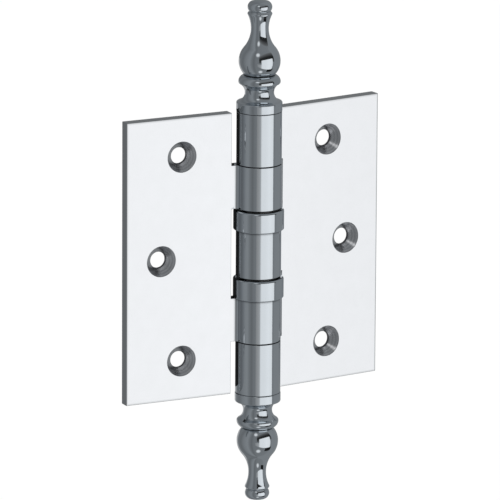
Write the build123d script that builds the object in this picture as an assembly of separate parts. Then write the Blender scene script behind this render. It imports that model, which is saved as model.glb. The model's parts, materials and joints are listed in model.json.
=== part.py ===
"""Ball bearing butt hinge with turned finials, standing on its pin axis.

Two leaves turn on a fixed steel pin. A cased thrust bearing sits on each side of the middle knuckle.
The pin axis is Z, the origin is at mid-height, the leaves' front faces look towards -Y,
the frame leaf reaches towards +X and the door leaf towards -X.
"""
import os
from math import radians, tan

from build123d import *

# Leaves
leaf_height = 101.6
leaf_reach = 50.8  # from the pin axis to a leaf's free edge
leaf_thickness = 4.0
leaf_setback = 0.5  # from the pin axis back to a leaf's front face
leaf_drop_angle = 4.0  # how far each leaf is swung back from flat
leaf_edge_round = 0.4
leaf_end_chamfer = 0.25
leaf_root_fillet = 1.5
cutout_reach = 10.35  # from the pin axis to the floor of a leaf's cut-outs

# Barrel
barrel_radius = 8.0
end_knuckle_length = 18.65
door_knuckle_length = 15.65
knuckle_gap = 0.3
bearing_height = 7.8

# Screw holes
screw_hole_diameter = 5.8
countersink_diameter = 11.0
countersink_angle = 82.0
outer_screws_reach = 29.5  # from the pin axis to the top and bottom holes
outer_screws_height = 36.8
middle_screw_reach = 37.35

# Pin and its threaded ends
pin_diameter = 8.0
pin_clearance = 0.05
spigot_diameter = 5.0
spigot_length = 10.0
spigot_end_clearance = 0.3
spigot_chamfer = 0.5

# Finial, with heights from the end of the barrel
finial_length = 39.7
finial_base_radius = 8.1
finial_base_height = 3.5
finial_base_bevel = 0.25
finial_base_round = 0.5
lower_neck_radius = 5.12
lower_neck_height = 6.65
collar_foot_radius = 7.1
collar_foot_height = 9.9
collar_radius = 7.42
collar_height = 10.55
groove_radius = 5.3
groove_height = 13.0
bulb_radius = 7.33
bulb_height = 17.9
shoulder_radius = 5.28
shoulder_height = 23.1
upper_neck_radius = 3.12
upper_neck_height = 29.5
lip_radius = 4.35
lip_height = 34.7
lip_edge = 0.3
button_groove_radius = 3.75
button_groove_height = 35.7
button_radius = 4.32
button_height = 37.2
button_crown_radius = 3.2
button_crown_height = 39.1

# Cased thrust bearings, with heights from the knuckle that a bearing sits on
ball_diameter = 2.4
ball_count = 12
ball_pitch_radius = 5.8
ball_clearance = 0.05
race_groove_depth = 0.5
lower_race_height = 2.6
race_case_clearance = 0.05
upper_race_case_clearance = 0.35
upper_race_lip_clearance = 0.3
upper_race_boss_clearance = 0.4
cage_thickness = 0.8
cage_web = 0.25
case_radius = 8.95
case_wall = 0.65
case_top_gap = 0.6
case_lip_thickness = 0.8
case_lip_radius = 6.5
case_top_round = 0.78
case_foot_round = 0.3

# Heights that follow from the barrel's lengths
barrel_end = leaf_height / 2
end_knuckle_foot = barrel_end - end_knuckle_length
door_knuckle_top = end_knuckle_foot - knuckle_gap
door_knuckle_foot = door_knuckle_top - door_knuckle_length
middle_knuckle_top = door_knuckle_foot - bearing_height

# Radii and heights that follow from the fits
pin_radius = pin_diameter / 2
pin_hole_radius = pin_radius + pin_clearance
spigot_radius = spigot_diameter / 2
ball_radius = ball_diameter / 2
ball_groove_radius = ball_radius + ball_clearance
ball_height = lower_race_height - race_groove_depth + ball_radius
upper_race_foot = ball_height + ball_radius - race_groove_depth
case_inner_radius = case_radius - case_wall
case_height = bearing_height - case_top_gap
case_lip_foot = case_height - case_lip_thickness
upper_race_shoulder = case_lip_foot - upper_race_lip_clearance


def turned(section):
    """Turn a half-section, drawn as radius and height, about the pin axis."""
    return revolve(Plane.XZ * section, Axis.Z)


def band(inner, outer, low, high):
    """A rectangular half-section between two radii and two heights."""
    return Pos((inner + outer) / 2, (low + high) / 2) * Rectangle(outer - inner, high - low)


def leaf_blank():
    """The drawn profile of one leaf and its full barrel, along +X."""
    plate = Pos(leaf_reach / 2, leaf_setback + leaf_thickness / 2) * Rectangle(leaf_reach, leaf_thickness)
    profile = Rot(0, 0, 180) * Circle(barrel_radius) + plate
    roots = profile.vertices().filter_by_position(Axis.X, 0, barrel_radius)
    profile = fillet(roots, leaf_root_fillet)
    free_corners = profile.vertices().group_by(Axis.X)[-1]
    profile = fillet(free_corners, leaf_edge_round)
    blank = extrude(profile, leaf_height / 2, both=True)
    ends = blank.faces().group_by(Axis.Z)
    rims = ends[-1].edges() + ends[0].edges()
    blank = chamfer(rims, leaf_end_chamfer)
    return blank - Cylinder(pin_hole_radius, leaf_height)


def barrel_cut(low, high):
    """The block that a cut-out takes from the barrel side of a leaf, between two heights."""
    far_side = 2 * barrel_radius
    block = Box(far_side + cutout_reach, 2 * far_side, high - low)
    return Pos((cutout_reach - far_side) / 2, 0, (low + high) / 2) * block


def screw_hole(reach, height):
    """A countersunk hole, drilled from the front face of a leaf."""
    hole_radius = screw_hole_diameter / 2
    sink_radius = countersink_diameter / 2
    sink_depth = (sink_radius - hole_radius) / tan(radians(countersink_angle / 2))
    upright = (Align.CENTER, Align.CENTER, Align.MIN)
    drill = Cylinder(hole_radius, leaf_thickness, align=upright)
    drill += Cone(sink_radius, hole_radius, sink_depth, align=upright)
    return Plane((reach, leaf_setback, height), x_dir=(1, 0, 0), z_dir=(0, 1, 0)) * drill


def leaf(cutouts):
    """One leaf along +X, with its barrel cut away between the given pairs of heights."""
    body = leaf_blank()
    for low, high in cutouts:
        body -= barrel_cut(low, high)
    for height in (-outer_screws_height, outer_screws_height):
        body -= screw_hole(outer_screws_reach, height)
    return body - screw_hole(middle_screw_reach, 0)


def frame_leaf():
    """The leaf with the two end knuckles and the middle one, swung back from flat."""
    flat = leaf([(middle_knuckle_top, end_knuckle_foot), (-end_knuckle_foot, -middle_knuckle_top)])
    return Rot(0, 0, leaf_drop_angle) * flat


def door_leaf():
    """The leaf with the two knuckles between the bearings and the end knuckles, swung back from flat."""
    clear_end = leaf_height
    flat = leaf([
        (door_knuckle_top, clear_end),
        (-door_knuckle_foot, door_knuckle_foot),
        (-clear_end, -door_knuckle_top),
    ])
    return Rot(0, 0, -leaf_drop_angle) * mirror(flat, about=Plane.YZ)


def hinge_pin():
    """The pin, as long as the barrel, with a reduced spigot at each end."""
    tip = barrel_end + spigot_length
    pin = turned(band(0, pin_radius, -barrel_end, barrel_end) + band(0, spigot_radius, -tip, tip))
    ends = pin.faces().filter_by(Plane.XY).group_by(Axis.Z)
    return chamfer(ends[0].edges() + ends[-1].edges(), spigot_chamfer)


def swell(middle, low, high):
    """Two arcs that leave a waist or a bulge upright and run to a point below and a point above it."""
    return [TangentArc(middle, low, tangent=(0, -1)), TangentArc(middle, high, tangent=(0, 1))]


def finial():
    """The turned finial, standing on Z = 0, with a blind hole for the pin's spigot."""
    base_corner = (finial_base_radius, finial_base_height - finial_base_round)
    base_top = (finial_base_radius - finial_base_round, finial_base_height)
    collar_foot = (collar_foot_radius, collar_foot_height)
    groove = (groove_radius, groove_height)
    shoulder = (shoulder_radius, shoulder_height)
    lip = (lip_radius, lip_height)
    lip_top = (lip_radius, lip_height + lip_edge)
    button_groove = (button_groove_radius, button_groove_height)
    crown = (button_crown_radius, button_crown_height)
    tip = (0, finial_length)
    outline = [
        Line((0, 0), (finial_base_radius - finial_base_bevel, 0)),
        Line((finial_base_radius - finial_base_bevel, 0), (finial_base_radius, finial_base_bevel)),
        Line((finial_base_radius, finial_base_bevel), base_corner),
        TangentArc(base_corner, base_top, tangent=(0, 1)),
        *swell((lower_neck_radius, lower_neck_height), base_top, collar_foot),
        *swell((collar_radius, collar_height), collar_foot, groove),
        *swell((bulb_radius, bulb_height), groove, shoulder),
        *swell((upper_neck_radius, upper_neck_height), shoulder, lip),
        Line(lip, lip_top),
        Line(lip_top, button_groove),
        *swell((button_radius, button_height), button_groove, crown),
        TangentArc(tip, crown, tangent=(1, 0)),
        Line(tip, (0, 0)),
    ]
    socket = band(0, spigot_radius + pin_clearance, 0, spigot_length + spigot_end_clearance)
    return turned(make_face(outline) - socket)


def bearing_case():
    """The outer case: a short tube whose top edge is rolled in to a lip that keeps the races together."""
    wall = band(case_inner_radius, case_radius, 0, case_height)
    lip = band(case_lip_radius, case_radius, case_lip_foot, case_height)
    section = wall + lip
    outer_corners = section.vertices().group_by(Axis.X)[-1].sort_by(Axis.Y)
    section = fillet(outer_corners[1], case_top_round)
    foot_corner = section.vertices().group_by(Axis.Y)[0].sort_by(Axis.X)[-1]
    return turned(fillet(foot_corner, case_foot_round))


def ball_groove():
    """The round track that the balls run in."""
    return turned(Pos(ball_pitch_radius, ball_height) * Circle(ball_groove_radius))


def lower_race():
    """The grooved washer that lies in the foot of the case."""
    outer = case_inner_radius - race_case_clearance
    return turned(band(pin_hole_radius, outer, 0, lower_race_height)) - ball_groove()


def upper_race():
    """The grooved washer over the balls, with a boss that passes the case's lip to the knuckle above."""
    outer = case_inner_radius - upper_race_case_clearance
    boss = case_lip_radius - upper_race_boss_clearance
    section = band(pin_hole_radius, outer, upper_race_foot, upper_race_shoulder)
    section += band(pin_hole_radius, boss, upper_race_foot, bearing_height)
    return turned(section) - ball_groove()


def ball_cage():
    """The flat ring that spaces the balls, with a round pocket for each."""
    inner = ball_pitch_radius - ball_groove_radius - cage_web
    outer = ball_pitch_radius + ball_groove_radius + cage_web
    ring = turned(band(inner, outer, ball_height - cage_thickness / 2, ball_height + cage_thickness / 2))
    pocket = Pos(0, 0, ball_height) * Cylinder(ball_groove_radius, cage_thickness)
    return ring - [place * pocket for place in PolarLocations(ball_pitch_radius, ball_count)]


def bearing(name, seat):
    """The pieces of one bearing by node name, standing on the knuckle face at the given height."""
    place = Pos(0, 0, seat)
    pieces = {
        f"{name}_case": place * bearing_case(),
        f"{name}_lower_race": place * lower_race(),
        f"{name}_upper_race": place * upper_race(),
        f"{name}_cage": place * ball_cage(),
    }
    ball = Pos(0, 0, seat + ball_height) * Sphere(ball_radius)
    for number, spot in enumerate(PolarLocations(ball_pitch_radius, ball_count), start=1):
        pieces[f"{name}_ball_{number:02d}"] = spot * ball
    return pieces


def hinge():
    """Every piece of the hinge by node name."""
    top_finial = Pos(0, 0, barrel_end) * finial()
    return {
        "frame_leaf": frame_leaf(),
        "door_leaf": door_leaf(),
        "hinge_pin": hinge_pin(),
        "top_finial": top_finial,
        "bottom_finial": mirror(top_finial, about=Plane.XY),
        **bearing("upper_bearing", middle_knuckle_top),
        **bearing("lower_bearing", -door_knuckle_foot),
    }


os.makedirs("parts", exist_ok=True)
for node, solid in hinge().items():
    export_step(solid, f"parts/{node}.step")
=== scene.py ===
import json
import math
from collections import namedtuple

import bmesh
import bpy
from bpy.props import FloatProperty, FloatVectorProperty, PointerProperty
from mathutils import Matrix, Vector


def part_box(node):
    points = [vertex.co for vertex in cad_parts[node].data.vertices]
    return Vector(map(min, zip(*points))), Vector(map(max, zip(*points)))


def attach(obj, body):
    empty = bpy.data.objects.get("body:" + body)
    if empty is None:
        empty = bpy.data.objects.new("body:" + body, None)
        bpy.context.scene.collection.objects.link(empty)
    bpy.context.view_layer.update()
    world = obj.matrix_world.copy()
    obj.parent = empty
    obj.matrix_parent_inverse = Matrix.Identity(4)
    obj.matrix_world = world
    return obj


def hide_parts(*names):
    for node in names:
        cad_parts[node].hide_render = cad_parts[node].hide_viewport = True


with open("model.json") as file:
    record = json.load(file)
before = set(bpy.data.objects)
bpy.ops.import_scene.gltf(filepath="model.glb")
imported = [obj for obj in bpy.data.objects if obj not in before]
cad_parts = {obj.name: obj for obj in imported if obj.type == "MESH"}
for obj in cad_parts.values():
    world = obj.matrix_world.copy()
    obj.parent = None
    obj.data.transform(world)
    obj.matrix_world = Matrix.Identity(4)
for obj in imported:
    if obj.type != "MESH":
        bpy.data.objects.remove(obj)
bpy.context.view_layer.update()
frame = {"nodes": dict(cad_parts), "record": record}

bl_info = {
    "name": "Ball Bearing Hinge",
    "version": (1, 0, 0),
    "blender": (4, 5, 0),
    "location": "View3D > Sidebar > Hinge",
    "description": "Models the polished leaves, finials and bearing cases of a butt hinge round its frame",
    "category": "Object",
}

MM = 0.001

# Boxes of the frame, in metres
leaf_low, leaf_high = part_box("frame_leaf")
pin_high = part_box("hinge_pin")[1]
finial_low, finial_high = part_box("top_finial")
upper_case_low, upper_case_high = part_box("upper_bearing_case")
lower_case_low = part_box("lower_bearing_case")[0]
mounts = {mount["name"]: mount["dims"] for mount in frame["record"]["mounts"]}
screws = mounts["frame_leaf_screws"]

# Fineness of the round stretches
TURNED_STEPS = 160
BARREL_STEP = math.radians(2.0)
ARC_STEP = math.radians(4.0)
FILLET_STEP = math.radians(10.0)

# Edges sharper than this are polished over, in so many steps
SHARP_EDGE = math.radians(25)
POLISH_STEPS = 3

# Points of a mesh that are closer than this become one
SAME_PLACE = MM / 1000

# How far ambient occlusion looks from a joint or corner for the painted shade on a leaf, a finial and a
# bearing case
LEAF_SHADE_REACH = 1.3 * MM
TURNED_SHADE_REACH = 0.45 * MM
CASE_SHADE_REACH = 0.9 * MM

# The window's left and lower edge in degrees, which the skirt and the lower flag share
WINDOW_LEFT = -37.0
WINDOW_FOOT = -34.5


def size(label, about, default):
    """A length that a user can change, in metres."""
    return FloatProperty(name=label, description=about, default=default, unit="LENGTH", precision=5)


def angle(label, about, degrees):
    """An angle that a user can change, given in degrees."""
    return FloatProperty(name=label, description=about, default=math.radians(degrees), subtype="ANGLE")


def colour(label, about, red, green, blue):
    """A colour that a user can change."""
    return FloatVectorProperty(
        name=label, description=about, default=(red, green, blue), size=3, min=0.0, max=1.0, subtype="COLOR"
    )


def share(label, about, default):
    """A plain factor that a user can change."""
    return FloatProperty(name=label, description=about, default=default, min=0.0, subtype="FACTOR")


def edges(label, about, left, right, bottom, top):
    """The edges of a card that a user can change, as angles seen from the hinge, given in degrees."""
    angles = [math.radians(degrees) for degrees in (left, right, bottom, top)]
    return FloatVectorProperty(name=label, description=about, default=angles, size=4, unit="ROTATION")


class LeafSizes(bpy.types.PropertyGroup):
    """Sizes of the two leaves and their knuckles."""

    height: size("Height", "Height of a leaf", leaf_high.z - leaf_low.z)
    reach: size("Reach", "From the pin axis to a leaf's free edge", 50.8 * MM)
    thickness: size("Thickness", "Thickness of a leaf", 4.0 * MM)
    setback: size("Setback", "From the pin axis back to a leaf's front face", 0.5 * MM)
    drop: angle("Drop", "How far each leaf is swung back from flat", 4.0)
    edge_round: size("Edge Round", "Rounding of a leaf's free edge", 0.4 * MM)
    root_fillet: size("Root Fillet", "Fillet where a leaf runs into its knuckles", 1.5 * MM)
    cutout_reach: size("Cut-out Reach", "From the pin axis to the floor of a leaf's cut-outs", 10.35 * MM)
    barrel_radius: size("Barrel Radius", "Outer radius of the knuckles", 8.0 * MM)
    pin_clearance: size("Pin Clearance", "Gap between the pin and its hole", 0.05 * MM)
    end_knuckle: size("End Knuckle", "Length of the first and last knuckle", 18.65 * MM)
    door_knuckle: size("Door Knuckle", "Length of the door leaf's knuckles", 15.65 * MM)
    knuckle_gap: size("Knuckle Gap", "Gap between an end knuckle and its neighbour", 0.3 * MM)
    bearing_height: size("Bearing Height", "Room for a bearing between two knuckles", 7.8 * MM)
    edge_bevel: size("Edge Bevel", "Width of the polished-over edges", 0.16 * MM)
    # Painted shade: the leaf chrome is darkened towards its outer edges, standing in for the darker mirroring
    # of a rounded edge
    edge_shade_reach: size("Edge Roll", "How far in the polish falls off at a leaf's outer edges", 0.8 * MM)


class ScrewSizes(bpy.types.PropertyGroup):
    """Sizes and places of the countersunk holes."""

    hole_radius: size("Hole Radius", "Radius of a screw hole", screws["hole_r_mm"] * MM)
    sink_radius: size("Countersink Radius", "Radius of a countersink at the leaf's face", 5.5 * MM)
    sink_angle: angle("Countersink Angle", "Full angle of the countersinks", 82.0)
    outer_reach: size("Outer Reach", "From the pin axis to the outer holes", 29.5 * MM)
    outer_height: size("Outer Height", "From mid-height to the outer holes", screws["pcd_mm"] / 2 * MM)
    middle_reach: size("Middle Reach", "From the pin axis to the middle hole", 37.35 * MM)
    overrun: size("Overrun", "How far the drill passes both faces", 1.0 * MM)
    ring_pitch: size("Ring Pitch", "Spacing of the turned rings in the countersinks", 0.75 * MM)


class FinialSizes(bpy.types.PropertyGroup):
    """Radii and heights along a finial, from the end of the barrel."""

    length: size("Length", "Whole length", finial_high.z - finial_low.z)
    base_radius: size("Base Radius", "Radius of the base", finial_high.x)
    base_height: size("Base Height", "Height of the base", 3.5 * MM)
    base_bevel: size("Base Bevel", "Bevel where the base meets the barrel", 0.25 * MM)
    base_round: size("Base Round", "Rounding of the base's upper edge", 0.5 * MM)
    lower_neck_radius: size("Lower Neck Radius", "Radius of the neck over the base", 5.12 * MM)
    lower_neck_height: size("Lower Neck Height", "Height of the neck over the base", 6.65 * MM)
    collar_foot_radius: size("Collar Foot Radius", "Radius of the collar's lower edge", 7.1 * MM)
    collar_foot_height: size("Collar Foot Height", "Height of the collar's lower edge", 9.9 * MM)
    collar_radius: size("Collar Radius", "Largest radius of the collar", 7.42 * MM)
    collar_height: size("Collar Height", "Height of the collar's widest place", 10.55 * MM)
    groove_radius: size("Groove Radius", "Radius of the groove under the bulb", 5.3 * MM)
    groove_height: size("Groove Height", "Height of the groove under the bulb", 13.0 * MM)
    bulb_radius: size("Bulb Radius", "Largest radius of the bulb", 7.33 * MM)
    bulb_height: size("Bulb Height", "Height of the bulb's widest place", 17.9 * MM)
    shoulder_radius: size("Shoulder Radius", "Radius where the bulb runs into the upper neck", 5.28 * MM)
    shoulder_height: size("Shoulder Height", "Height where the bulb runs into the upper neck", 23.1 * MM)
    upper_neck_radius: size("Upper Neck Radius", "Radius of the upper neck", 3.12 * MM)
    upper_neck_height: size("Upper Neck Height", "Height of the upper neck", 29.5 * MM)
    lip_radius: size("Lip Radius", "Radius of the lip under the button", 4.35 * MM)
    lip_height: size("Lip Height", "Height of the lip's lower edge", 34.7 * MM)
    lip_edge: size("Lip Edge", "Thickness of the lip's edge", 0.3 * MM)
    button_groove_radius: size("Button Groove Radius", "Radius of the groove under the button", 3.75 * MM)
    button_groove_height: size("Button Groove Height", "Height of the groove under the button", 35.7 * MM)
    button_radius: size("Button Radius", "Largest radius of the button", 4.32 * MM)
    button_height: size("Button Height", "Height of the button's widest place", 37.2 * MM)
    crown_radius: size("Crown Radius", "Radius where the button turns into its crown", 3.2 * MM)
    crown_height: size("Crown Height", "Height where the button turns into its crown", 39.1 * MM)
    socket_radius: size("Socket Radius", "Radius of the hole for the pin's end", 2.55 * MM)
    socket_depth: size("Socket Depth", "Depth of the hole for the pin's end", 10.3 * MM)
    edge_bevel: size("Edge Bevel", "Width of the polished-over edges", 0.14 * MM)


class CaseSizes(bpy.types.PropertyGroup):
    """Sizes of a bearing case."""

    radius: size("Radius", "Outer radius", upper_case_high.x)
    height: size("Height", "Height from the knuckle below", upper_case_high.z - upper_case_low.z)
    wall: size("Wall", "Thickness of the wall", 0.65 * MM)
    lip_thickness: size("Lip Thickness", "Thickness of the rolled-in top edge", 0.8 * MM)
    lip_radius: size("Lip Radius", "Inner radius of the rolled-in top edge", 6.5 * MM)
    top_round: size("Top Round", "Rounding of the rolled-in top edge", 0.78 * MM)
    foot_round: size("Foot Round", "Rounding of the lower edge", 0.3 * MM)
    edge_bevel: size("Edge Bevel", "Width of the polished-over edges", 0.1 * MM)


class Finishes(bpy.types.PropertyGroup):
    """Colours and gloss of the metals."""

    chrome: colour("Chrome", "Polished chrome plate of the leaves", 0.80, 0.815, 0.84)
    chrome_haze: colour("Chrome Haze", "Leaf chrome where the polish is a little hazy", 0.765, 0.78, 0.80)
    # Painted shade: the knuckles, cases and finials carry a darker copy of the leaf chrome, standing in for
    # their dimmer reflection
    barrel: colour("Barrel Chrome", "Chrome plate of the knuckles, cases and finials", 0.615, 0.66, 0.70)
    barrel_haze: colour("Barrel Haze", "Barrel chrome where the polish is a little hazy", 0.585, 0.63, 0.67)
    # Painted shade: colour multiplied into the leaf chrome near its outer edges, standing in for the darker
    # mirroring of a rounded edge
    edge_shade_tone: colour("Edge Tone", "Tint of the chrome at a leaf's outer edges", 0.62, 0.63, 0.63)
    machined: colour("Machined Chrome", "Ridges of the turned countersinks", 0.71, 0.72, 0.74)
    machined_dark: colour("Dark Machined Chrome", "Hollows of the turned countersinks", 0.56, 0.57, 0.59)
    # Painted shade: the bores of the screw holes are near black for the shade inside them
    bore: colour("Bore", "Thin plate inside the drilled screw holes", 0.16, 0.16, 0.17)
    # Painted shade: the steel of the pin and races is darkened so that the gaps above the bearing cases read
    # dark; its darker patches are random tone
    steel: colour("Steel", "Ground steel of the pin and races", 0.24, 0.24, 0.25)
    shaded_steel_haze: colour("Dark Steel", "Oiled places on the steel", 0.10, 0.10, 0.10)
    brass: colour("Brass", "Stamped brass of the cages", 0.78, 0.57, 0.27)
    brass_dark: colour("Dark Brass", "Tarnish on the brass", 0.55, 0.38, 0.16)
    chrome_roughness: share("Chrome Roughness", "Roughness of the polished chrome", 0.045)
    machined_roughness: share("Machined Roughness", "Roughness of the turned countersinks", 0.21)
    steel_roughness: share("Steel Roughness", "Roughness of the ground steel", 0.24)
    ball_roughness: share("Ball Roughness", "Roughness of the polished balls", 0.07)
    brass_roughness: share("Brass Roughness", "Roughness of the brass", 0.30)


class StudioSizes(bpy.types.PropertyGroup):
    """The camera, the floor and the light tent."""

    camera_distance: size("Camera Distance", "From the camera to the hinge's middle", 2.597)
    camera_heading: angle("Camera Heading", "Turn of the camera from straight in front", -29.57)
    camera_pitch: angle("Camera Pitch", "Height of the camera over the horizon", 14.06)
    camera_roll: angle("Camera Roll", "Tilt of the camera about its line of sight", 0.33)
    camera_left: size("Camera Left", "How far the camera is shifted to its left", 2.978 * MM)
    camera_up: size("Camera Up", "How far the camera is shifted upwards", 0.506 * MM)
    lens: FloatProperty(name="Lens", description="The camera's focal length", default=531.8, unit="CAMERA")
    sensor: FloatProperty(name="Sensor", description="The camera's sensor width", default=36.0, unit="CAMERA")
    sight: size("Sight", "How far the camera sees", 50.0)
    floor_drop: size("Floor Drop", "From the hinge's middle down to the floor", 1.6)
    floor_size: size("Floor Size", "Side of the floor", 24.0)
    floor_colour: colour("Floor Colour", "Colour of the floor", 0.9, 0.9, 0.9)
    floor_roughness: share("Floor Roughness", "Roughness of the floor", 0.9)
    floor_white: share("Floor White", "Share of plain white in the floor that the camera sees", 0.9)
    room_white: share("Room White", "Brightness of the room that the camera sees", 1.0)
    room_light: share("Room Light", "Brightness of the room as a light for the floor", 1.25)
    overhead_size: size("Overhead Size", "Side of the soft lamp overhead", 0.8)
    overhead_power: FloatProperty(
        name="Overhead Power", description="Power of the soft lamp overhead", default=12.0, unit="POWER"
    )
    tent_radius: size("Tent Radius", "Radius of the light tent round the hinge", 1.5)
    tent_tint: colour("Tent Tint", "Tint of the tent's grey cloth", 0.94, 0.973, 1.0)
    tent_grey: share("Tent Grey", "Brightness of the tent round the small lamps", 0.25)
    window_heading: angle("Window Heading", "Direction that the tent's bright window faces", 18.0)
    window_distance: size("Window Distance", "From the hinge to the bright window", 0.75)
    window_edges: edges("Window Edges", "The window, from its heading", WINDOW_LEFT, 29.5, WINDOW_FOOT, 19.0)
    skirt_edges: edges("Skirt Edges", "The dim cloth on its left", -66.0, WINDOW_LEFT, WINDOW_FOOT, -9.0)
    flag_gap: size("Flag Gap", "How far the black flags stand behind the window", 0.02)
    upper_flag_edges: edges("Upper Flag Edges", "The flag above the window", -50.0, 40.0, 2.0, 46.0)
    lower_flag_edges: edges("Lower Flag Edges", "The flag below the window", 2.0, 40.0, -50.0, WINDOW_FOOT)
    rear_edges: edges("Rear Edges", "The pale cloth, from straight behind", -25.0, 15.0, -45.0, -2.0)
    # Painted shade: the narrow black flag stands close behind the gap beside the barrel, where there is only
    # shade, so that the knuckles mirror it dark
    back_shade_flag_distance: size("Back Flag Distance", "From the pin axis back to the narrow flag", 8.7 * MM)
    back_shade_flag_edges: edges("Back Flag Edges", "The narrow flag, from behind", 30.0, 61.5, -80.2, 80.2)
    lamp_distance: size("Lamp Distance", "From the hinge to the two small lamps", 1.0)
    lamp_width: angle("Lamp Width", "Half the width of a small lamp, seen from the hinge", 12.0)
    lamp_light: share("Lamp Light", "Brightness of a small lamp", 0.95)
    upper_lamp_heading: angle("Upper Lamp Heading", "Direction of the lamp above the camera", -41.0)
    upper_lamp_height: angle("Upper Lamp Height", "Height of the lamp above the camera", 43.0)
    lower_lamp_heading: angle("Lower Lamp Heading", "Direction of the lamp below the camera", -22.0)
    lower_lamp_height: angle("Lower Lamp Height", "Height of the lamp below the camera", -53.0)


def select_only(piece):
    """Select one object and make it the active one."""
    bpy.ops.object.select_all(action="DESELECT")
    piece.select_set(True)
    bpy.context.view_layer.objects.active = piece


def settle(piece):
    """Put a piece's place, turn and scale into its mesh."""
    select_only(piece)
    bpy.ops.object.transform_apply(location=True, rotation=True, scale=True)


class Outline:
    """A chain of edges drawn point by point in edit mode, by extruding and spinning its last point."""

    # The upright of a plane, and the axis that its arcs turn about
    PLANES = {"XY": (Vector((0, 1, 0)), (0, 0, -1)), "XZ": (Vector((0, 0, 1)), (0, 1, 0))}

    def __init__(self, plane, start):
        self.upright, self.axis = self.PLANES[plane]
        bpy.ops.object.select_all(action="DESELECT")
        bpy.ops.mesh.primitive_plane_add(size=MM)
        self.piece = bpy.context.object
        bpy.ops.object.mode_set(mode="EDIT")
        bpy.ops.mesh.select_all(action="SELECT")
        bpy.ops.mesh.merge(type="CENTER")
        self.end = Vector(start)
        bpy.ops.transform.translate(value=self.place(self.end))

    def place(self, point):
        """A point of the drawing as a point in space."""
        return Vector((point.x, 0, 0)) + point.y * self.upright

    def line(self, point):
        """Draw a straight edge to a point."""
        point = Vector(point)
        step = self.place(point - self.end)
        bpy.ops.mesh.extrude_region_move(TRANSFORM_OT_translate={"value": step})
        self.end = point

    def arc(self, centre, point, step=ARC_STEP):
        """Draw the shorter arc about a centre to a point."""
        point = Vector(point)
        turn = -(self.end - centre).angle_signed(point - centre)
        steps = max(2, math.ceil(abs(turn) / step))
        bpy.ops.mesh.spin(steps=steps, angle=turn, center=self.place(centre), axis=self.axis)
        self.end = point

    def swell(self, middle, point):
        """Draw a waist or a bulge: an arc to its upright middle and one on to a point."""
        middle = Vector(middle)
        point = Vector(point)
        self.arc(beside(middle, self.end), middle)
        self.arc(beside(middle, point), point)

    def turn(self):
        """Turn the outline about the Z axis into a closed shell."""
        bpy.ops.mesh.select_all(action="SELECT")
        bpy.ops.mesh.spin(steps=TURNED_STEPS, angle=2 * math.pi, center=(0, 0, 0), axis=(0, 0, 1))
        return self.finish()

    def extrude(self, height):
        """Fill the outline and raise it into a prism, centred on Z = 0."""
        bpy.ops.mesh.select_all(action="SELECT")
        bpy.ops.mesh.remove_doubles(threshold=SAME_PLACE)
        bpy.ops.mesh.edge_face_add()
        bpy.ops.transform.translate(value=(0, 0, -height / 2))
        bpy.ops.mesh.extrude_region_move(TRANSFORM_OT_translate={"value": (0, 0, height)})
        return self.finish()

    def finish(self):
        """Join the doubled points, point the faces outwards and leave edit mode."""
        bpy.ops.mesh.select_all(action="SELECT")
        bpy.ops.mesh.remove_doubles(threshold=SAME_PLACE)
        bpy.ops.mesh.normals_make_consistent(inside=False)
        bpy.ops.object.mode_set(mode="OBJECT")
        return self.piece


def beside(middle, point):
    """The centre of the arc that runs from an upright middle, level with the centre, to a point."""
    across = point - middle
    return Vector((middle.x + across.length_squared / (2 * across.x), middle.y))


def cut(piece, cutter):
    """Take one object's shape out of a piece."""
    select_only(piece)
    bpy.ops.object.modifier_add(type="BOOLEAN")
    modifier = piece.modifiers[-1]
    modifier.operation = "DIFFERENCE"
    modifier.solver = "EXACT"
    modifier.object = cutter
    bpy.ops.object.modifier_apply(modifier=modifier.name)


def discard(tool):
    """Remove a cutter that has done its work."""
    bpy.data.objects.remove(tool, do_unlink=True)


def copied(piece):
    """A copy of a piece with its own mesh."""
    select_only(piece)
    bpy.ops.object.duplicate(linked=False)
    return bpy.context.object


def turned_over(piece, scale):
    """Mirror a piece about the origin's planes and point its faces outwards again."""
    piece.scale = scale
    settle(piece)
    bpy.ops.object.mode_set(mode="EDIT")
    bpy.ops.mesh.select_all(action="SELECT")
    bpy.ops.mesh.normals_make_consistent(inside=False)
    bpy.ops.object.mode_set(mode="OBJECT")


def polish_edges(piece, width):
    """Round every sharp edge a little and give the flats and rounds their true normals."""
    select_only(piece)
    bpy.ops.object.modifier_add(type="BEVEL")
    bevel = piece.modifiers[-1]
    bevel.limit_method = "ANGLE"
    bevel.angle_limit = SHARP_EDGE
    bevel.width = width
    bevel.segments = POLISH_STEPS
    bpy.ops.object.modifier_apply(modifier=bevel.name)
    bpy.ops.object.shade_smooth()
    bpy.ops.object.modifier_add(type="WEIGHTED_NORMAL")
    weighted = piece.modifiers[-1]
    weighted.mode = "FACE_AREA"
    bpy.ops.object.modifier_apply(modifier=weighted.name)


def require_closed(piece):
    """Stop if a piece isn't one closed shell."""
    mesh = bmesh.new()
    mesh.from_mesh(piece.data)
    loose = [edge for edge in mesh.edges if len(edge.link_faces) != 2]
    mesh.free()
    if loose:
        raise RuntimeError(f"{piece.name} has {len(loose)} open edges")


def hand_over(piece, name, body, node, material):
    """Name a finished piece, give it its metal and let it stand for its node on a body."""
    piece.name = name
    piece.data.name = name
    piece.data.materials.clear()
    piece.data.materials.append(material)
    require_closed(piece)
    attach(piece, body)
    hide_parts(node)


def block(low, high):
    """A box between two corners, used as a cutter."""
    bpy.ops.object.select_all(action="DESELECT")
    bpy.ops.mesh.primitive_cube_add(size=1, location=(low + high) / 2, scale=high - low)
    return bpy.context.object


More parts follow.
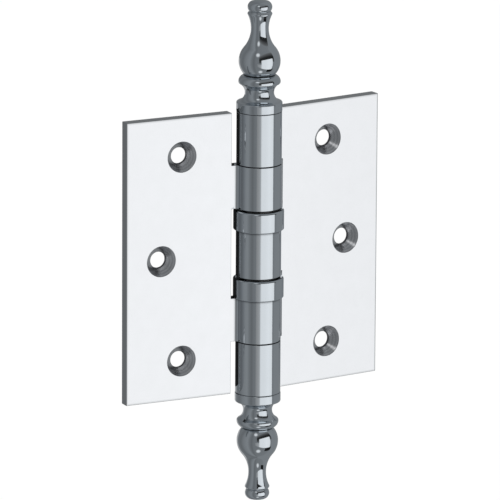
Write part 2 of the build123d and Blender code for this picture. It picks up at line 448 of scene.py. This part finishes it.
def leaf_blank(leaf):
    """The drawn profile of one leaf and its full barrel, along +X, bored for the pin."""
    front = leaf.setback
    back = leaf.setback + leaf.thickness
    corner = leaf.edge_round
    across = leaf.barrel_radius + leaf.root_fillet
    front_depth = front - leaf.root_fillet
    back_depth = back + leaf.root_fillet
    front_root = Vector((math.sqrt(across ** 2 - front_depth ** 2), front_depth))
    back_root = Vector((math.sqrt(across ** 2 - back_depth ** 2), back_depth))
    on_barrel = leaf.barrel_radius / across
    axis = Vector((0, 0))
    outline = Outline("XY", (leaf.reach, front + corner))
    outline.arc(Vector((leaf.reach - corner, front + corner)), (leaf.reach - corner, front), FILLET_STEP)
    outline.line((front_root.x, front))
    outline.arc(front_root, front_root * on_barrel, FILLET_STEP)
    outline.arc(axis, (-leaf.barrel_radius, 0), BARREL_STEP)
    outline.arc(axis, back_root * on_barrel, BARREL_STEP)
    outline.arc(back_root, (back_root.x, back), FILLET_STEP)
    outline.line((leaf.reach - corner, back))
    outline.arc(Vector((leaf.reach - corner, back - corner)), (leaf.reach, back - corner), FILLET_STEP)
    outline.line((leaf.reach, front + corner))
    blank = outline.extrude(leaf.height)
    bore = Outline("XZ", (0, -leaf.height))
    hole_radius = pin_high.x + leaf.pin_clearance
    bore.line((hole_radius, -leaf.height))
    bore.line((hole_radius, leaf.height))
    bore.line((0, leaf.height))
    reamer = bore.turn()
    cut(blank, reamer)
    discard(reamer)
    return blank


def countersink_drill(screw, thickness):
    """A drill along Y that makes one countersunk hole, with the leaf's front face at its origin."""
    flare = math.tan(screw.sink_angle / 2)
    sink_depth = (screw.sink_radius - screw.hole_radius) / flare
    outline = Outline("XZ", (0, -screw.overrun))
    outline.line((screw.sink_radius + screw.overrun * flare, -screw.overrun))
    outline.line((screw.hole_radius, sink_depth))
    outline.line((screw.hole_radius, thickness + screw.overrun))
    outline.line((0, thickness + screw.overrun))
    drill = outline.turn()
    drill.rotation_euler = (-math.pi / 2, 0, 0)
    settle(drill)
    return drill


def cut_away(piece, leaf, side, spans):
    """Cut the barrel off one leaf between the given pairs of heights."""
    far = 2 * leaf.barrel_radius
    for low, high in spans:
        reach = sorted((-side * far, side * leaf.cutout_reach))
        cutter = block(Vector((reach[0], -far, low)), Vector((reach[1], far, high)))
        cut(piece, cutter)
        discard(cutter)


class HINGE_OT_leaves(bpy.types.Operator):
    """Model the two countersunk leaves with their knuckles"""

    bl_idname = "hinge.leaves"
    bl_label = "Leaves"

    def execute(self, context):
        leaf = context.scene.hinge_leaf
        screw = context.scene.hinge_screw
        frame_leaf = leaf_blank(leaf)
        drill = countersink_drill(screw, leaf.thickness)
        for reach, height in (
            (screw.outer_reach, screw.outer_height),
            (screw.middle_reach, 0),
            (screw.outer_reach, -screw.outer_height),
        ):
            drill.location = (reach, leaf.setback, height)
            cut(frame_leaf, drill)
        discard(drill)
        door_leaf = copied(frame_leaf)
        turned_over(door_leaf, (-1, 1, 1))

        end = leaf.height / 2
        beyond = leaf.height
        end_foot = end - leaf.end_knuckle
        door_top = end_foot - leaf.knuckle_gap
        door_foot = door_top - leaf.door_knuckle
        middle_top = door_foot - leaf.bearing_height
        cut_away(frame_leaf, leaf, 1, [(middle_top, end_foot), (-end_foot, -middle_top)])
        cut_away(door_leaf, leaf, -1, [(door_top, beyond), (-door_foot, door_foot), (-beyond, -door_top)])

        chrome = leaf_chrome(context.scene.hinge_finish, leaf, screw)
        for piece, side, name in ((frame_leaf, 1, "frame"), (door_leaf, -1, "door")):
            piece.rotation_euler = (0, 0, side * leaf.drop)
            settle(piece)
            polish_edges(piece, leaf.edge_bevel)
            hand_over(piece, f"{name}_leaf_polished", f"{name}_side", f"{name}_leaf", chrome)
        return {"FINISHED"}


def finial_outline(finial):
    """The half-section of a finial, from the floor of its socket round to its tip."""

    def at(place):
        return getattr(finial, f"{place}_radius"), getattr(finial, f"{place}_height")

    outline = Outline("XZ", (0, finial.socket_depth))
    outline.line((finial.socket_radius, finial.socket_depth))
    outline.line((finial.socket_radius, 0))
    outline.line((finial.base_radius - finial.base_bevel, 0))
    outline.line((finial.base_radius, finial.base_bevel))
    rounding = Vector((finial.base_radius - finial.base_round, finial.base_height - finial.base_round))
    outline.line((finial.base_radius, rounding.y))
    outline.arc(rounding, (rounding.x, finial.base_height), FILLET_STEP)
    outline.swell(at("lower_neck"), at("collar_foot"))
    outline.swell(at("collar"), at("groove"))
    outline.swell(at("bulb"), at("shoulder"))
    outline.swell(at("upper_neck"), at("lip"))
    outline.line((finial.lip_radius, finial.lip_height + finial.lip_edge))
    outline.line(at("button_groove"))
    outline.swell(at("button"), at("crown"))
    crown_rise = finial.length - finial.crown_height
    crown_bend = (finial.crown_radius ** 2 + crown_rise ** 2) / (2 * crown_rise)
    outline.arc(Vector((0, finial.length - crown_bend)), (0, finial.length))
    return outline


class HINGE_OT_finials(bpy.types.Operator):
    """Turn the two finials that close the ends of the pin"""

    bl_idname = "hinge.finials"
    bl_label = "Finials"

    def execute(self, context):
        finial = context.scene.hinge_finial
        top = finial_outline(finial).turn()
        top.location = (0, 0, finial_low.z)
        settle(top)
        bottom = copied(top)
        turned_over(bottom, (1, 1, -1))
        chrome = turned_chrome("finial_chrome", context.scene.hinge_finish, TURNED_SHADE_REACH)
        for piece, name in ((top, "top_finial"), (bottom, "bottom_finial")):
            polish_edges(piece, finial.edge_bevel)
            hand_over(piece, f"{name}_polished", "frame_side", name, chrome)
        return {"FINISHED"}


class HINGE_OT_bearing_cases(bpy.types.Operator):
    """Turn the two polished cases of the ball bearings"""

    bl_idname = "hinge.bearing_cases"
    bl_label = "Bearing Cases"

    def execute(self, context):
        case = context.scene.hinge_case
        inside = case.radius - case.wall
        lip_foot = case.height - case.lip_thickness
        foot = Vector((case.radius - case.foot_round, case.foot_round))
        top = Vector((case.radius - case.top_round, case.height - case.top_round))
        outline = Outline("XZ", (inside, 0))
        outline.line((foot.x, 0))
        outline.arc(foot, (case.radius, foot.y), FILLET_STEP)
        outline.line((case.radius, top.y))
        outline.arc(top, (top.x, case.height))
        outline.line((case.lip_radius, case.height))
        outline.line((case.lip_radius, lip_foot))
        outline.line((inside, lip_foot))
        outline.line((inside, 0))
        upper = outline.turn()
        lower = copied(upper)
        chrome = turned_chrome("case_chrome", context.scene.hinge_finish, CASE_SHADE_REACH)
        for piece, name, body, seat in (
            (upper, "upper_bearing_case", "frame_side", upper_case_low.z),
            (lower, "lower_bearing_case", "door_side", lower_case_low.z),
        ):
            piece.location = (0, 0, seat)
            settle(piece)
            polish_edges(piece, case.edge_bevel)
            hand_over(piece, f"{name}_polished", body, name, chrome)
        return {"FINISHED"}


Grain = namedtuple("Grain", "stretch scale spread relief")

# The fine lines that polishing and grinding leave: their stretch on X, Y and Z, their scale, the share by
# which the gloss changes across them, and how strongly they stand out
LEAF_GRAIN = Grain((1, 1, 0.06), 2400, 1 / 3, 0.05)
TURNED_GRAIN = Grain((0.05, 0.05, 1), 2400, 1 / 3, 0.05)
PIN_GRAIN = Grain((0.05, 0.05, 1), 3000, 1 / 4, 0.2)
RACE_GRAIN = Grain((1, 1, 0.1), 3000, 1 / 3, 0.2)
BALL_GRAIN = Grain((1, 1, 1), 3000, 3 / 7, 0.05)
CAGE_GRAIN = Grain((1, 1, 1), 2500, 1 / 3, 0.3)

# How deep the lines are, how fine their pattern is, and the stretch of it that the gloss follows
GRAIN_DEPTH = 0.01 * MM
GRAIN_DETAIL = 4.0
GRAIN_LOW = 0.3
GRAIN_HIGH = 0.7

# Hazy patches are so many times larger than the grain
HAZE_SIZE = 12
HAZE_DETAIL = 2.0

# How open a place is, by ambient occlusion, where its painted shade is full and where it ends, and the share
# of the dull colour that the painted shade takes
SHADE_FULL = 0.58
SHADE_CLEAR = 0.94
PAINTED_SHADE_TONE = 1 / 8


def feed(owner, entry, value):
    """Give a node's input a number or a colour, or link a socket to it."""
    if isinstance(value, bpy.types.NodeSocket):
        owner.node_tree.links.new(value, entry)
    else:
        entry.default_value = value


def noise(material, place, scale, detail):
    """A socket with an uneven pattern that follows a place."""
    node = material.node_tree.nodes.new("ShaderNodeTexNoise")
    feed(material, node.inputs["Vector"], place)
    feed(material, node.inputs["Scale"], scale)
    feed(material, node.inputs["Detail"], detail)
    return node.outputs["Fac"]


def slope(owner, value, low, high, start=0.0, stop=1.0):
    """A socket that runs from start to stop while a value runs from low to high."""
    node = owner.node_tree.nodes.new("ShaderNodeMapRange")
    for entry, number in (("From Min", low), ("From Max", high), ("To Min", start), ("To Max", stop)):
        feed(owner, node.inputs[entry], number)
    feed(owner, node.inputs["Value"], value)
    return node.outputs["Result"]


def blend(material, mask, first, second, kind="RGBA", way="MIX"):
    """A socket that changes from a first colour or number to a second where a mask is 1."""
    node = material.node_tree.nodes.new("ShaderNodeMix")
    node.data_type = kind
    node.blend_type = way
    for entry, value in (("Factor", mask), ("A", first), ("B", second)):
        feed(material, node.inputs[entry], value)
    return node.outputs["Result"]


def calculate(owner, operation, *values):
    """A socket with the result of a sum on sockets and numbers."""
    node = owner.node_tree.nodes.new("ShaderNodeMath")
    node.operation = operation
    for entry, value in zip(node.inputs, values):
        feed(owner, entry, value)
    return node.outputs["Value"]


def measure(material, operation, along, first, second=(0, 0, 0)):
    """A socket with a length or a distance on some axes of a vector given as its separate sockets."""
    flat = material.node_tree.nodes.new("ShaderNodeCombineXYZ")
    for axis in along:
        feed(material, flat.inputs[axis], first.outputs[axis])
    node = material.node_tree.nodes.new("ShaderNodeVectorMath")
    node.operation = operation
    feed(material, node.inputs[0], flat.outputs["Vector"])
    feed(material, node.inputs[1], second)
    return node.outputs["Value"]


def take_over(material, mask, entry, value, way="MIX"):
    """Blend a colour or a number into one of the shader's inputs where a mask is 1."""
    target = material.node_tree.nodes["Principled BSDF"].inputs[entry]
    before = target.links[0].from_socket
    kind = "RGBA" if target.type == "RGBA" else "FLOAT"
    feed(material, target, blend(material, mask, before, value, kind, way))


def metal(name, bright, dull, roughness, grain, shade_reach=TURNED_SHADE_REACH):
    """A metal whose colour, gloss and fine relief follow a stretched grain in the piece's own space, with
    painted shade near joints and corners.
    """
    material = bpy.data.materials.new(name)
    material.use_nodes = True
    nodes = material.node_tree.nodes
    shader = nodes["Principled BSDF"]
    shader.inputs["Metallic"].default_value = 1.0
    place = nodes.new("ShaderNodeTexCoord").outputs["Object"]
    grain_space = nodes.new("ShaderNodeMapping")
    feed(material, grain_space.inputs["Vector"], place)
    feed(material, grain_space.inputs["Scale"], grain.stretch)
    lines = noise(material, grain_space.outputs["Vector"], grain.scale, GRAIN_DETAIL)
    haze = noise(material, place, grain.scale / HAZE_SIZE, HAZE_DETAIL)

    change = roughness * grain.spread
    gloss = slope(material, lines, GRAIN_LOW, GRAIN_HIGH, roughness - change, roughness + change)
    feed(material, shader.inputs["Roughness"], gloss)

    # Painted shade: the colour darkens to a fraction of the dull tone where ambient occlusion finds a joint,
    # crease or corner close by
    occlusion = nodes.new("ShaderNodeAmbientOcclusion")
    occlusion.inputs["Distance"].default_value = shade_reach
    clear = slope(material, occlusion.outputs["AO"], SHADE_FULL, SHADE_CLEAR)
    painted_shade = [part * PAINTED_SHADE_TONE for part in dull]
    tint = blend(material, haze, (*bright, 1), (*dull, 1))
    feed(material, shader.inputs["Base Color"], blend(material, clear, (*painted_shade, 1), tint))

    bump = nodes.new("ShaderNodeBump")
    bump.inputs["Strength"].default_value = grain.relief
    bump.inputs["Distance"].default_value = GRAIN_DEPTH
    feed(material, bump.inputs["Height"], lines)
    feed(material, shader.inputs["Normal"], bump.outputs["Normal"])
    return material


def turned_chrome(name, finish, shade_reach):
    """The chrome of a turned piece, with its polishing lines round the pin axis."""
    return metal(name, finish.barrel, finish.barrel_haze, finish.chrome_roughness, TURNED_GRAIN, shade_reach)


def leaf_space(material, drop):
    """The separate axes of a place on either leaf, laid flat and folded onto the frame leaf's side."""
    nodes = material.node_tree.nodes
    one_side = nodes.new("ShaderNodeVectorMath")
    one_side.operation = "ABSOLUTE"
    feed(material, one_side.inputs[0], nodes.new("ShaderNodeTexCoord").outputs["Object"])
    flat = nodes.new("ShaderNodeMapping")
    flat.inputs["Rotation"].default_value = (0, 0, -drop)
    feed(material, flat.inputs["Vector"], one_side.outputs["Vector"])
    axes = nodes.new("ShaderNodeSeparateXYZ")
    feed(material, axes.inputs["Vector"], flat.outputs["Vector"])
    return axes


def leaf_chrome(finish, leaf, screw):
    """Bright leaf chrome with painted shade on the barrel, at the outer edges and in the bores, and with
    turned countersinks.
    """
    rough = finish.chrome_roughness
    chrome = metal("leaf_chrome", finish.chrome, finish.chrome_haze, rough, LEAF_GRAIN, LEAF_SHADE_REACH)
    place = leaf_space(chrome, leaf.drop)

    root = leaf.barrel_radius + leaf.root_fillet
    # Painted shade: the knuckles of the leaf take the darker barrel copy of the same chrome
    on_barrel = slope(chrome, measure(chrome, "LENGTH", "XY", place), root, leaf.barrel_radius)
    barrel_shade = [part / full for part, full in zip(finish.barrel, finish.chrome)]
    take_over(chrome, on_barrel, "Base Color", (*barrel_shade, 1), "MULTIPLY")

    # Painted shade: the chrome darkens towards the leaf's free edge and its ends, as a rounded edge would
    # mirror the grey tent
    from_side = calculate(chrome, "SUBTRACT", leaf.reach, place.outputs["X"])
    from_end = calculate(chrome, "SUBTRACT", leaf.height / 2, place.outputs["Z"])
    from_edge = calculate(chrome, "MINIMUM", from_side, from_end)
    on_leaf = calculate(chrome, "GREATER_THAN", place.outputs["X"], leaf.cutout_reach)
    edge_shade = calculate(chrome, "MULTIPLY", on_leaf, slope(chrome, from_edge, leaf.edge_shade_reach, 0.0))
    take_over(chrome, edge_shade, "Base Color", (*finish.edge_shade_tone, 1), "MULTIPLY")

    outer = measure(chrome, "DISTANCE", "XZ", place, (screw.outer_reach, 0, screw.outer_height))
    middle = measure(chrome, "DISTANCE", "XZ", place, (screw.middle_reach, 0, 0))
    away = calculate(chrome, "MINIMUM", outer, middle)
    under_face = calculate(chrome, "GREATER_THAN", place.outputs["Y"], leaf.setback + leaf.edge_bevel / 2)
    back = leaf.setback + leaf.thickness
    over_back = calculate(chrome, "LESS_THAN", place.outputs["Y"], back - leaf.edge_bevel)
    inside = calculate(chrome, "MULTIPLY", under_face, over_back)
    near = calculate(chrome, "LESS_THAN", away, screw.sink_radius + leaf.edge_bevel)
    machined = calculate(chrome, "MULTIPLY", near, inside)
    wave = calculate(chrome, "SINE", calculate(chrome, "MULTIPLY", away, 2 * math.pi / screw.ring_pitch))
    ring = slope(chrome, wave, -1.0, 1.0)
    take_over(chrome, machined, "Base Color", (*finish.machined, 1))
    hollow = calculate(chrome, "MULTIPLY", machined, ring)
    take_over(chrome, hollow, "Base Color", (*finish.machined_dark, 1))
    take_over(chrome, machined, "Roughness", finish.machined_roughness)
    # Painted shade: the bore inside each hole takes a near-black colour
    in_hole = calculate(chrome, "LESS_THAN", away, screw.hole_radius + leaf.edge_bevel)
    shaded_bore = calculate(chrome, "MULTIPLY", in_hole, inside)
    take_over(chrome, shaded_bore, "Base Color", (*finish.bore, 1))
    return chrome


class HINGE_OT_inner_pieces(bpy.types.Operator):
    """Give the pin, races, cages and balls inside the barrel their metals"""

    bl_idname = "hinge.inner_pieces"
    bl_label = "Inner Pieces"

    def execute(self, context):
        finish = context.scene.hinge_finish
        # Painted shade: the pin and race steel is darkened for the gaps above the cases
        steel = (finish.steel, finish.shaded_steel_haze, finish.steel_roughness)
        polished = (finish.chrome, finish.steel, finish.ball_roughness)
        brass = (finish.brass, finish.brass_dark, finish.brass_roughness)
        metals = {
            "pin_steel": metal("ground_pin_steel", *steel, PIN_GRAIN),
            "race_steel": metal("ground_race_steel", *steel, RACE_GRAIN),
            "ball_steel": metal("bearing_ball_steel", *polished, BALL_GRAIN),
            "cage_brass": metal("stamped_cage_brass", *brass, CAGE_GRAIN),
        }
        for row in frame["record"]["subparts"]:
            if row["material_slot"] in metals:
                piece = frame["nodes"][row["node"]]
                piece.data.materials.clear()
                piece.data.materials.append(metals[row["material_slot"]])
        return {"FINISHED"}


# Strength of a glowing cloth, over its brightest tone, because a colour stop ends at 1
CLOTH_STRENGTH = 2.0

# Plain white, and the brightness of black cloth
WHITE = (1, 1, 1)
BLACK = 0.015

# Fineness of the tent and of a small lamp, and how far in from its rim the lamp reaches its full light
TENT_STEPS = 96
LAMP_STEPS = 48
LAMP_RIM = 0.6

# The tent's walls by heading: degrees from straight in front, and brightness
TENT_WALL = (
    (-180, 0.20),
    (-158, 0.24),
    (-135, 0.20),
    (-112, 0.28),
    (-98, 0.31),
    (-86, 0.33),
    (-74, 0.25),
    (-62, 0.195),
    (-50, 0.25),
    (-40, 0.25),
    (50, 0.27),
    (62, 0.31),
    (120, 0.30),
    (150, 0.25),
    (180, 0.20),
)

# The window's cloth by heading, from its left edge to its right edge
WINDOW_CLOTH = (
    (-19, 0.90),
    (-12, 1.04),
    (4, 1.05),
    (17, 1.10),
    (24, 1.13),
    (38, 1.08),
    (47.5, 1.02),
)

# The dim cloth beside the window, by heading
SKIRT_CLOTH = (
    (-48, 0.26),
    (-37, 0.355),
    (-27, 0.44),
    (-19, 0.56),
)

# The pale cloth behind the hinge, mirrored in the leaves' backs, by heading
REAR_CLOTH = (
    (155, 0.22),
    (165, 0.44),
    (172, 0.50),
    (182, 0.52),
    (189, 0.48),
    (195, 0.20),
)

# The narrow black flag close behind the gap beside the barrel, a dark sheet put where there is only shade and
# mirrored in the knuckles as painted shade, by heading
BACK_SHADE_FLAG_CLOTH = (
    (210, BLACK),
    (233, BLACK),
    (238, 0.12),
    (241.5, 0.40),
)

# The flag above the window, by height: degrees over the horizon, and brightness
UPPER_FLAG_CLOTH = (
    (2, 0.10),
    (18, 0.05),
    (22, 0.02),
    (30, 0.03),
    (46, 0.20),
)

# The flag below the window, by height
LOWER_FLAG_CLOTH = (
    (-50, BLACK),
    (WINDOW_FOOT, BLACK),
)


def glow(name, strength):
    """A material that only shines, with its emission node."""
    material = bpy.data.materials.new(name)
    material.use_nodes = True
    nodes = material.node_tree.nodes
    nodes.remove(nodes["Principled BSDF"])
    light = nodes.new("ShaderNodeEmission")
    light.inputs["Strength"].default_value = strength
    feed(material, nodes["Material Output"].inputs["Surface"], light.outputs["Emission"])
    return material, light


def shade_along(material, light, value, shades, tint):
    """Let a glow's brightness follow a value from 0 to 1, by pairs of a place and a brightness."""
    ramp = material.node_tree.nodes.new("ShaderNodeValToRGB")
    stops = ramp.color_ramp.elements
    strength = light.inputs["Strength"].default_value
    tones = [(place, [brightness / strength * part for part in tint]) for place, brightness in shades]
    for stop, (place, tone) in zip(stops, (tones[0], tones[-1])):
        stop.position = place
        stop.color = (*tone, 1)
    for place, tone in tones[1:-1]:
        stops.new(place).color = (*tone, 1)
    feed(material, ramp.inputs["Fac"], value)
    feed(material, light.inputs["Color"], ramp.outputs["Color"])


def towards(heading, height=0.0):
    """The unit direction at a heading from straight in front and a height over the horizon."""
    level = math.cos(height)
    return Vector((math.sin(heading) * level, -math.cos(heading) * level, math.sin(height)))


def rightwards(heading):
    """The level direction to the right of someone at a heading who looks at the hinge."""
    return Vector((math.cos(heading), math.sin(heading), 0))


def tent(studio):
    """The grey tent that the polished metal mirrors."""
    bpy.ops.object.select_all(action="DESELECT")
    bpy.ops.mesh.primitive_uv_sphere_add(
        segments=TENT_STEPS, ring_count=TENT_STEPS // 2, radius=studio.tent_radius
    )
    wall = bpy.context.object
    wall.name = "light_tent"
    material, light = glow("tent_cloth", 1.0)
    nodes = material.node_tree.nodes
    turn = nodes.new("ShaderNodeMapping")
    turn.inputs["Rotation"].default_value = (0, 0, math.pi / 2)
    feed(material, turn.inputs["Vector"], nodes.new("ShaderNodeTexCoord").outputs["Object"])
    heading = nodes.new("ShaderNodeTexGradient")
    heading.gradient_type = "RADIAL"
    feed(material, heading.inputs["Vector"], turn.outputs["Vector"])
    shades = [(degrees / 360 + 0.5, brightness) for degrees, brightness in TENT_WALL]
    shade_along(material, light, heading.outputs["Fac"], shades, studio.tent_tint)
    wall.data.materials.append(material)
    return wall


def hang(name, heading, distance, sides, tones, along="X"):
    """Hang a glowing card that faces the hinge, with tones by heading, along X, or by height, along Y."""
    left, right, bottom, top = (distance * math.tan(side) for side in sides)
    bpy.ops.object.select_all(action="DESELECT")
    bpy.ops.mesh.primitive_plane_add(size=1)
    card = bpy.context.object
    card.name = name
    card.scale = (right - left, top - bottom, 1)
    settle(card)
    out = towards(heading)
    level = rightwards(heading)
    up = Vector((0, 0, 1))
    card.matrix_world = Matrix((level, up, -out)).transposed().to_4x4()
    card.location = out * distance + level * (left + right) / 2 + up * (bottom + top) / 2

    low, high, zero = (left, right, heading) if along == "X" else (bottom, top, 0.0)
    shades = []
    for degrees, brightness in tones:
        place = distance * math.tan(math.radians(degrees) - zero)
        shades.append((min(max((place - low) / (high - low), 0.0), 1.0), brightness))
    material, light = glow(f"{name}_glow", CLOTH_STRENGTH)
    nodes = material.node_tree.nodes
    axes = nodes.new("ShaderNodeSeparateXYZ")
    feed(material, axes.inputs["Vector"], nodes.new("ShaderNodeTexCoord").outputs["Object"])
    across = slope(material, axes.outputs[along], (low - high) / 2, (high - low) / 2)
    shade_along(material, light, across, shades, WHITE)
    card.data.materials.append(material)
    return card


def cards(studio):
    """The bright window with its dim skirt and black flags, the pale cloth behind, and the narrow flag that
    puts painted shade into the knuckles.
    """
    front = studio.window_heading
    behind = math.pi
    distance = studio.window_distance
    flag_distance = distance + studio.flag_gap
    return [
        hang("tent_window", front, distance, studio.window_edges, WINDOW_CLOTH),
        hang("window_skirt", front, distance, studio.skirt_edges, SKIRT_CLOTH),
        hang("rear_cloth", behind, distance, studio.rear_edges, REAR_CLOTH),
        hang("upper_flag", front, flag_distance, studio.upper_flag_edges, UPPER_FLAG_CLOTH, "Y"),
        hang("lower_flag", front, flag_distance, studio.lower_flag_edges, LOWER_FLAG_CLOTH, "Y"),
        hang("back_shade_flag", behind, studio.back_shade_flag_distance, studio.back_shade_flag_edges, BACK_SHADE_FLAG_CLOTH),
    ]


def small_lamp(name, studio, heading, height):
    """A small soft lamp that faces the hinge and fades to the tone of the tent at its rim."""
    place = towards(heading, height) * studio.lamp_distance
    radius = studio.lamp_distance * math.tan(studio.lamp_width)
    bpy.ops.object.select_all(action="DESELECT")
    bpy.ops.mesh.primitive_circle_add(vertices=LAMP_STEPS, radius=1, fill_type="NGON")
    disc = bpy.context.object
    disc.name = name
    disc.matrix_world = (-place).to_track_quat("Z", "Y").to_matrix().to_4x4()
    disc.scale = (radius, radius, 1)
    disc.location = place
    material, light = glow(f"{name}_glow", studio.lamp_light)
    nodes = material.node_tree.nodes
    inwards = nodes.new("ShaderNodeTexGradient")
    inwards.gradient_type = "SPHERICAL"
    feed(material, inwards.inputs["Vector"], nodes.new("ShaderNodeTexCoord").outputs["Object"])
    shades = [(0.0, studio.tent_grey), (LAMP_RIM, studio.lamp_light)]
    shade_along(material, light, inwards.outputs["Fac"], shades, WHITE)
    disc.data.materials.append(material)
    return disc


def seen_directly(owner):
    """A socket that is 1 for what the camera sees directly, in a mirror or through glass."""
    path = owner.node_tree.nodes.new("ShaderNodeLightPath")
    mirrored = calculate(owner, "MAXIMUM", path.outputs["Is Camera Ray"], path.outputs["Is Glossy Ray"])
    return calculate(owner, "MAXIMUM", mirrored, path.outputs["Is Transmission Ray"])


def floor(studio):
    """The pale floor, far below the hinge, that keeps its soft shadow."""
    bpy.ops.object.select_all(action="DESELECT")
    bpy.ops.mesh.primitive_plane_add(size=studio.floor_size, location=(0, 0, -studio.floor_drop))
    ground = bpy.context.object
    ground.name = "studio_floor"
    material = bpy.data.materials.new("pale_floor")
    material.use_nodes = True
    nodes = material.node_tree.nodes
    shader = nodes["Principled BSDF"]
    shader.inputs["Base Color"].default_value = (*studio.floor_colour, 1)
    shader.inputs["Roughness"].default_value = studio.floor_roughness
    white = nodes.new("ShaderNodeEmission")
    mix = nodes.new("ShaderNodeMixShader")
    weight = calculate(material, "MULTIPLY", seen_directly(material), studio.floor_white)
    feed(material, mix.inputs["Fac"], weight)
    feed(material, mix.inputs[1], shader.outputs["BSDF"])
    feed(material, mix.inputs[2], white.outputs["Emission"])
    feed(material, nodes["Material Output"].inputs["Surface"], mix.outputs["Shader"])
    ground.data.materials.append(material)
    return ground


def white_room(scene, studio):
    """A white world for the camera, a little brighter where it lights the floor."""
    world = bpy.data.worlds.new("white_room")
    world.use_nodes = True
    scene.world = world
    shell = world.node_tree.nodes["Background"]
    shell.inputs["Color"].default_value = (*WHITE, 1)
    strength = slope(world, seen_directly(world), 0.0, 1.0, studio.room_light, studio.room_white)
    feed(world, shell.inputs["Strength"], strength)


def overhead_lamp(studio):
    """The large soft lamp above, which throws the hinge's shadow on the floor."""
    bpy.ops.object.light_add(type="AREA", location=(0, 0, studio.floor_drop))
    lamp = bpy.context.object
    lamp.name = "overhead_lamp"
    lamp.data.size = studio.overhead_size
    lamp.data.energy = studio.overhead_power
    lamp.visible_glossy = False


def photo_camera(scene, studio):
    """The camera at the photograph's place."""
    back = towards(studio.camera_heading, studio.camera_pitch)
    right = rightwards(studio.camera_heading)
    up = back.cross(right)
    level, lean = math.cos(studio.camera_roll), math.sin(studio.camera_roll)
    right, up = level * right + lean * up, level * up - lean * right
    data = bpy.data.cameras.new("photo_camera")
    camera = bpy.data.objects.new("photo_camera", data)
    scene.collection.objects.link(camera)
    place = back * studio.camera_distance - right * studio.camera_left + up * studio.camera_up
    camera.matrix_world = Matrix.Translation(place) @ Matrix((right, up, back)).transposed().to_4x4()
    data.lens = studio.lens
    data.sensor_width = studio.sensor
    data.clip_end = studio.sight
    scene.camera = camera


class HINGE_OT_studio(bpy.types.Operator):
    """Set up the floor, the light tent, the white room and the camera"""

    bl_idname = "hinge.studio"
    bl_label = "Studio"

    def execute(self, context):
        scene = context.scene
        studio = scene.hinge_studio
        walls = [
            tent(studio),
            *cards(studio),
            small_lamp("upper_lamp", studio, studio.upper_lamp_heading, studio.upper_lamp_height),
            small_lamp("lower_lamp", studio, studio.lower_lamp_heading, studio.lower_lamp_height),
        ]
        for wall in walls:
            wall.visible_camera = False
            wall.visible_diffuse = False
            wall.visible_shadow = False
            wall.visible_transmission = False
        floor(studio)
        overhead_lamp(studio)
        white_room(scene, studio)
        photo_camera(scene, studio)
        scene.view_settings.view_transform = "Standard"
        return {"FINISHED"}


PIECE_OPERATORS = (
    HINGE_OT_leaves, HINGE_OT_finials, HINGE_OT_bearing_cases, HINGE_OT_inner_pieces, HINGE_OT_studio,
)
SETTINGS = {
    "hinge_leaf": LeafSizes,
    "hinge_screw": ScrewSizes,
    "hinge_finial": FinialSizes,
    "hinge_case": CaseSizes,
    "hinge_finish": Finishes,
    "hinge_studio": StudioSizes,
}


class HINGE_PT_pieces(bpy.types.Panel):
    """Lists the hinge's pieces and its stage"""

    bl_idname = "HINGE_PT_pieces"
    bl_label = "Ball Bearing Hinge"
    bl_space_type = "VIEW_3D"
    bl_region_type = "UI"
    bl_category = "Hinge"

    def draw(self, context):
        for operator in PIECE_OPERATORS:
            self.layout.operator(operator.bl_idname)
        for name, group in SETTINGS.items():
            box = self.layout.box()
            box.label(text=group.__doc__)
            for key in group.__annotations__:
                box.prop(getattr(context.scene, name), key)


CLASSES = (*SETTINGS.values(), *PIECE_OPERATORS, HINGE_PT_pieces)


def register():
    for cls in CLASSES:
        bpy.utils.register_class(cls)
    for name, group in SETTINGS.items():
        setattr(bpy.types.Scene, name, PointerProperty(type=group))


def unregister():
    for name in SETTINGS:
        delattr(bpy.types.Scene, name)
    for cls in reversed(CLASSES):
        bpy.utils.unregister_class(cls)


def main():
    register()
    bpy.ops.hinge.leaves()
    bpy.ops.hinge.finials()
    bpy.ops.hinge.bearing_cases()
    bpy.ops.hinge.inner_pieces()
    bpy.ops.hinge.studio()


if __name__ == "__main__":
    main()
